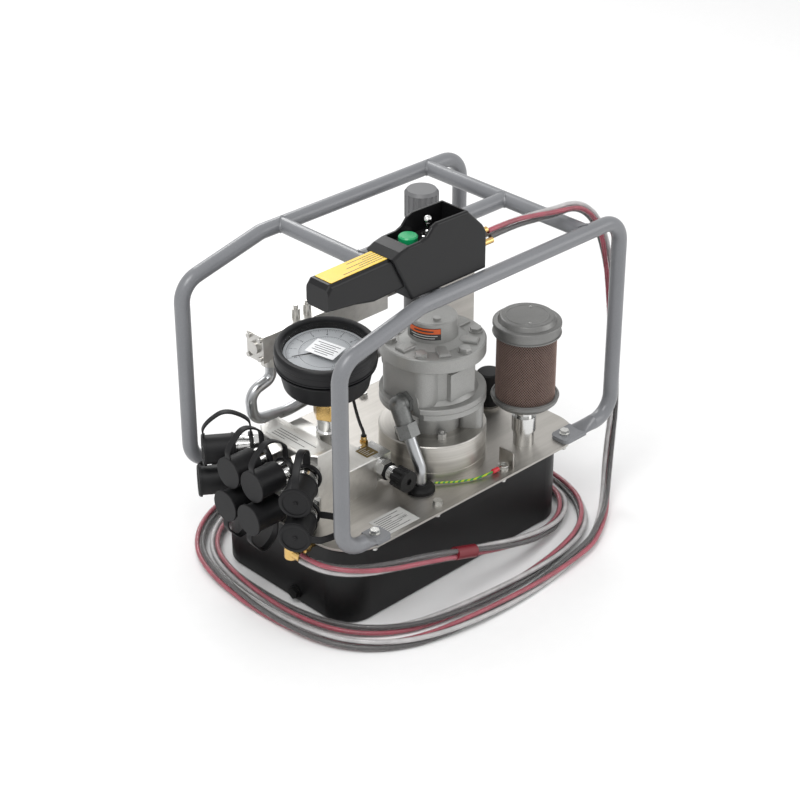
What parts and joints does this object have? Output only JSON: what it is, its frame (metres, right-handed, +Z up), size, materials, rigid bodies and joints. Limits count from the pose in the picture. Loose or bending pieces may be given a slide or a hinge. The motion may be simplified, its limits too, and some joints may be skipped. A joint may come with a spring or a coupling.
{
  "type": "hydraulic power unit",
  "caption": "Air-driven hydraulic pump unit: vertical vane motor, valve block, capped quick couplers and gauge on an oil tank in a tubular roll frame, with a pendant control on a long hose.",
  "frame": {"origin": "on the floor under the middle of the roll frame, on the reservoir's underside", "axes": "+Z up; -X towards the quick couplers and gauge; -Y towards the pendant and the exhaust muffler"},
  "size_m": [0.536, 0.4329, 0.49],
  "materials": {
    "tank_paint": "satin black powder coat",
    "seal_rubber": "matte",
    "stainless": "brushed",
    "zinc": "zinc plated",
    "black_plastic": "matte",
    "frame_paint": "semi-gloss grey",
    "turned_aluminium": "turned",
    "casting": "painted casting",
    "casting_screws": "painted with the casting",
    "ground_steel": "ground",
    "vane_composite": "matte",
    "pump_iron": "machined casting",
    "galvanised": "galvanised",
    "zinc_tube": "zinc plated tube",
    "bright_steel": "bright plated",
    "muffler_cast": "pressed and painted",
    "muffler_mesh": "woven wire over felt",
    "earth_wire": "yellow and green insulation",
    "milled_aluminium": "milled",
    "cap_rubber": "moulded matte",
    "gauge_steel": "black",
    "boot_rubber": "moulded satin",
    "gauge_glass": "clear",
    "pointer_black": "matte",
    "brass_fitting": "machined",
    "regulator_paint": "painted die casting",
    "grey_plastic": "matte",
    "pendant_plastic": "satin",
    "green_plastic": "satin",
    "clear_hose": "clear hoses with coloured cores"
  },
  "bodies": {
    "root": {"air_bracket": "stainless", "air_tube": "zinc_tube", "air_valve": "milled_aluminium", "cap_straps": "cap_rubber", "carry_bar": "frame_paint", "coupler_manifold": "milled_aluminium", "couplers": "bright_steel", "crossbars": "frame_paint", "deck_screws": "zinc", "drain_plug": "tank_paint", "earth_lead": "earth_wire", "exhaust_elbow": "galvanised", "exhaust_tube": "zinc_tube", "far_hoop": "frame_paint", "filler_neck": "stainless", "filter_bowl": "regulator_paint", "gauge_boot": "boot_rubber", "gauge_case": "gauge_steel", "gauge_fitting": "bright_steel", "gauge_lens": "gauge_glass", "hose_bundle": "clear_hose", "hose_elbow": "brass_fitting", "motor_bearings": "ground_steel", "motor_cylinder": "casting", "motor_end_cap": "casting", "motor_foot": "casting", "motor_screws": "casting_screws", "mount_ring": "turned_aluminium", "muffler_base": "muffler_cast", "muffler_cap": "muffler_cast", "muffler_fitting": "bright_steel", "muffler_mesh": "muffler_mesh", "near_hoop": "frame_paint", "pump_block": "pump_iron", "regulator_body": "regulator_paint", "relief_valve": "bright_steel", "reservoir_tank": "tank_paint", "tank_gasket": "seal_rubber", "top_plate": "stainless", "tube_grommet": "seal_rubber", "valve_block": "milled_aluminium"},
    "rotor": {"motor_rotor": "ground_steel", "motor_vanes": "vane_composite", "drive_shaft": "ground_steel"},
    "filler_cap": {"filler_cap": "black_plastic"},
    "relief_knob": {"relief_knob": "black_plastic"},
    "regulator_knob": {"regulator_knob": "grey_plastic"},
    "gauge_pointer": {"gauge_pointer": "pointer_black"},
    "pendant_button": {"pendant_button": "green_plastic"},
    "pendant_toggle": {"pendant_toggle": "bright_steel"},
    "pendant": {"pendant_body": "pendant_plastic", "pendant_barbs": "brass_fitting"},
    "dust_cap_1": {"dust_cap_1": "cap_rubber"},
    "dust_cap_2": {"dust_cap_2": "cap_rubber"},
    "dust_cap_3": {"dust_cap_3": "cap_rubber"},
    "dust_cap_4": {"dust_cap_4": "cap_rubber"},
    "dust_cap_5": {"dust_cap_5": "cap_rubber"},
    "dust_cap_6": {"dust_cap_6": "cap_rubber"},
    "dust_cap_7": {"dust_cap_7": "cap_rubber"},
    "dust_cap_8": {"dust_cap_8": "cap_rubber"}
  },
  "joints": [
    {"name": "rotor_spin", "type": "hinge", "parent": "root", "child": "rotor", "pos_m": [0.009, -0.039, 0.24], "axis": [0, 0, 1], "continuous": true},
    {"name": "filler_cap_lift", "type": "slide", "parent": "root", "child": "filler_cap", "axis": [0, 0, 1], "range_m": [0, 0.03]},
    {"name": "relief_turn", "type": "hinge", "parent": "root", "child": "relief_knob", "pos_m": [-0.088, -0.088, 0.147], "axis": [0, -1, 0], "range_deg": [-720, 720]},
    {"name": "regulator_turn", "type": "hinge", "parent": "root", "child": "regulator_knob", "pos_m": [0.111, 0.085, 0.385], "axis": [0, 0, 1], "range_deg": [-1080, 1080]},
    {"name": "pointer_sweep", "type": "hinge", "parent": "root", "child": "gauge_pointer", "pos_m": [-0.152, -0.027, 0.318], "axis": [0.08, 0.08, -0.9936], "range_deg": [0, 270], "stiffness_Nm_per_rad": 0.002, "springref_deg": -5.73},
    {"name": "pendant_lift", "type": "slide", "parent": "root", "child": "pendant", "axis": [0, 0, 1], "range_m": [0, 0.08]},
    {"name": "button_press", "type": "slide", "parent": "pendant", "child": "pendant_button", "axis": [0, 0, -1], "range_m": [0, 0.003], "stiffness_N_per_m": 300, "springref_m": -0.002},
    {"name": "toggle_tilt", "type": "hinge", "parent": "pendant", "child": "pendant_toggle", "pos_m": [-0.07, -0.108, 0.4696], "axis": [0, 1, 0], "range_deg": [-15, 15], "stiffness_Nm_per_rad": 0.05},
    {"name": "dust_cap_1_pull", "type": "slide", "parent": "root", "child": "dust_cap_1", "axis": [-0.8192, 0.5736, 0], "range_m": [0, 0.04]},
    {"name": "dust_cap_2_pull", "type": "slide", "parent": "root", "child": "dust_cap_2", "axis": [-1, 0, 0], "range_m": [0, 0.04]},
    {"name": "dust_cap_3_pull", "type": "slide", "parent": "root", "child": "dust_cap_3", "axis": [-1, 0, 0], "range_m": [0, 0.04]},
    {"name": "dust_cap_4_pull", "type": "slide", "parent": "root", "child": "dust_cap_4", "axis": [-0.8192, -0.5736, 0], "range_m": [0, 0.04]},
    {"name": "dust_cap_5_pull", "type": "slide", "parent": "root", "child": "dust_cap_5", "axis": [-0.8192, 0.5736, 0], "range_m": [0, 0.04]},
    {"name": "dust_cap_6_pull", "type": "slide", "parent": "root", "child": "dust_cap_6", "axis": [-1, 0, 0], "range_m": [0, 0.04]},
    {"name": "dust_cap_7_pull", "type": "slide", "parent": "root", "child": "dust_cap_7", "axis": [-1, 0, 0], "range_m": [0, 0.04]},
    {"name": "dust_cap_8_pull", "type": "slide", "parent": "root", "child": "dust_cap_8", "axis": [-0.8192, -0.5736, 0], "range_m": [0, 0.04]}
  ]
}
